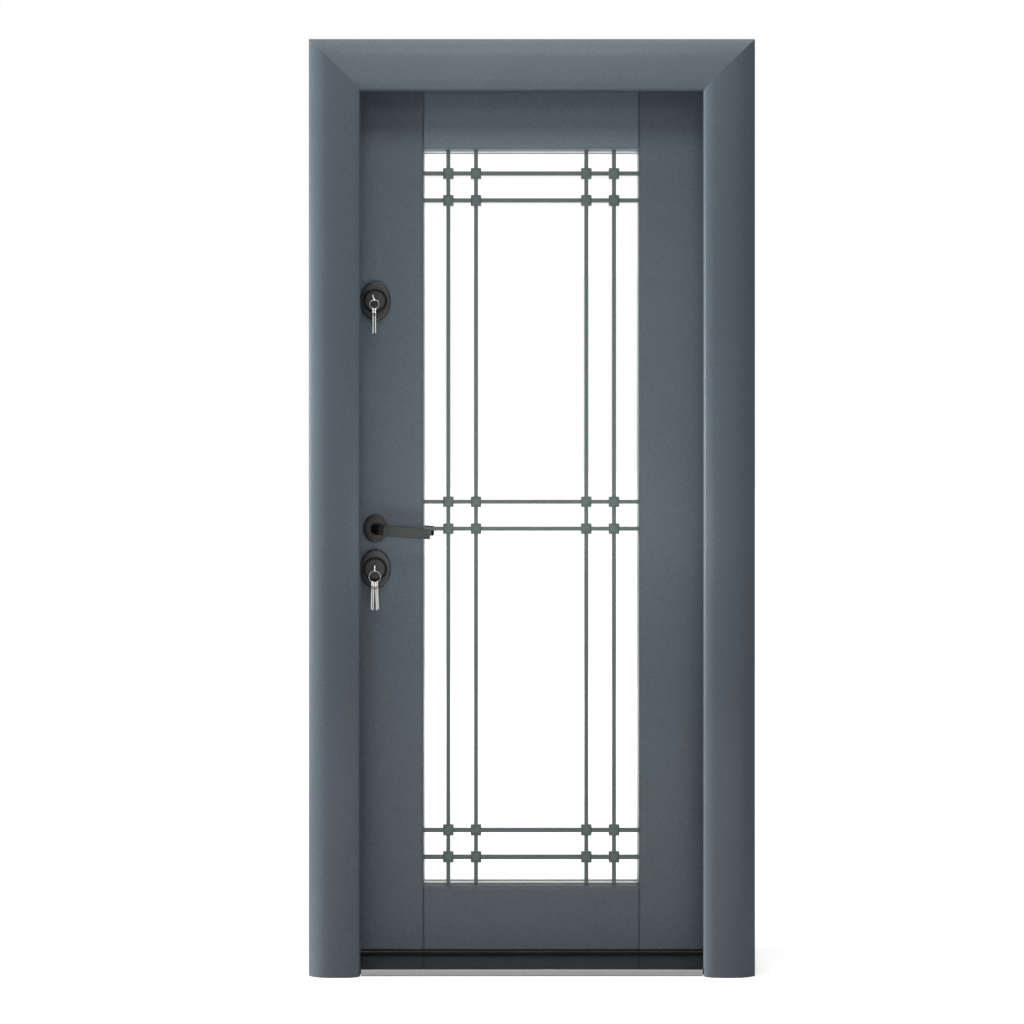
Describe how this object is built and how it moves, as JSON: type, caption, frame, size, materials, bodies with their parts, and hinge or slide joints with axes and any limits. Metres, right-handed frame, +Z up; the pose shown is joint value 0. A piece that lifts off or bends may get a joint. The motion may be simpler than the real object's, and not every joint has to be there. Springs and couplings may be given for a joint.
{
  "type": "metal entry door",
  "caption": "Steel entrance door with a barred, double-glazed leaf hung in a folded steel frame with rounded casing, lever handle, two key locks and a stainless threshold.",
  "frame": {"origin": "on the underside of the sill core, at floor level, in the plane of the wall face and midway between the jambs", "axes": "+X to the right seen from outside, +Y into the building, +Z up"},
  "size_m": [1, 0.2405, 2.1],
  "materials": {
    "frame_paint": "fine textured powder coat",
    "leaf_paint": "fine textured powder coat",
    "stainless": "brushed",
    "zinc_steel": "zinc plated",
    "dark_metal": "satin black",
    "key_metal": "nickel plated",
    "glass": "clear",
    "seal_rubber": "matt",
    "sill_pack": "matt"
  },
  "bodies": {
    "frame": {"casing_left": "frame_paint", "casing_right": "frame_paint", "casing_head": "frame_paint", "jamb_left": "frame_paint", "jamb_right": "frame_paint", "jamb_head": "frame_paint", "rebate_left": "frame_paint", "rebate_right": "frame_paint", "rebate_head": "frame_paint", "strike_plate": "stainless", "frame_seal": "seal_rubber", "threshold": "stainless", "sill_core": "sill_pack", "frame_hinges": "zinc_steel"},
    "leaf": {"stile_left": "leaf_paint", "stile_right": "leaf_paint", "top_rail": "leaf_paint", "bottom_rail": "leaf_paint", "glass_outer": "glass", "glass_inner": "glass", "glass_spacer": "zinc_steel", "glazing_bead": "leaf_paint", "grille_uprights_left": "leaf_paint", "grille_uprights_right": "leaf_paint", "grille_crossbars_top": "leaf_paint", "grille_crossbars_middle": "leaf_paint", "grille_crossbars_bottom": "leaf_paint", "lock_faceplate": "stainless", "lock_bolts": "zinc_steel", "leaf_hinges": "zinc_steel", "upper_escutcheon": "dark_metal", "lower_escutcheon": "dark_metal", "upper_cylinder": "zinc_steel", "lower_cylinder": "zinc_steel", "outer_rose": "dark_metal", "inner_rose": "dark_metal"},
    "lever": {"outer_lever": "dark_metal", "inner_lever": "dark_metal", "spindle": "zinc_steel"},
    "upper_key": {"upper_plug": "zinc_steel", "upper_key": "key_metal", "upper_key_ring": "key_metal"},
    "upper_spares": {"upper_spare_keys": "key_metal"},
    "lower_key": {"lower_plug": "zinc_steel", "lower_key": "key_metal", "lower_key_ring": "key_metal"},
    "lower_spares": {"lower_spare_keys": "key_metal"}
  },
  "joints": [
    {"name": "leaf_swing", "type": "hinge", "parent": "frame", "child": "leaf", "pos_m": [0.44, 0.173, 1.03], "axis": [0, 0, -1], "range_deg": [0, 100]},
    {"name": "lever_turn", "type": "hinge", "parent": "leaf", "child": "lever", "pos_m": [-0.3605, 0.1285, 0.998], "axis": [0, 1, 0], "range_deg": [0, 45], "stiffness_Nm_per_rad": 1.5, "springref_deg": -34.38},
    {"name": "upper_key_turn", "type": "hinge", "parent": "leaf", "child": "upper_key", "pos_m": [-0.3625, 0.0845, 1.5288], "axis": [0, 1, 0], "range_deg": [-90, 90]},
    {"name": "lower_key_turn", "type": "hinge", "parent": "leaf", "child": "lower_key", "pos_m": [-0.3595, 0.0845, 0.908], "axis": [0, 1, 0], "range_deg": [-90, 90]},
    {"name": "upper_spares_hang", "type": "hinge", "parent": "upper_key", "child": "upper_spares", "pos_m": [-0.36055, 0.0645, 1.51349], "axis": [0, 1, 0], "range_deg": [-90, 90]},
    {"name": "lower_spares_hang", "type": "hinge", "parent": "lower_key", "child": "lower_spares", "pos_m": [-0.3595, 0.0645, 0.8886], "axis": [0, 1, 0], "range_deg": [-90, 90]}
  ],
  "couplings": [
    {"joint": "upper_spares_hang", "follows": "upper_key_turn", "ratio": -1},
    {"joint": "lower_spares_hang", "follows": "lower_key_turn", "ratio": -1}
  ]
}
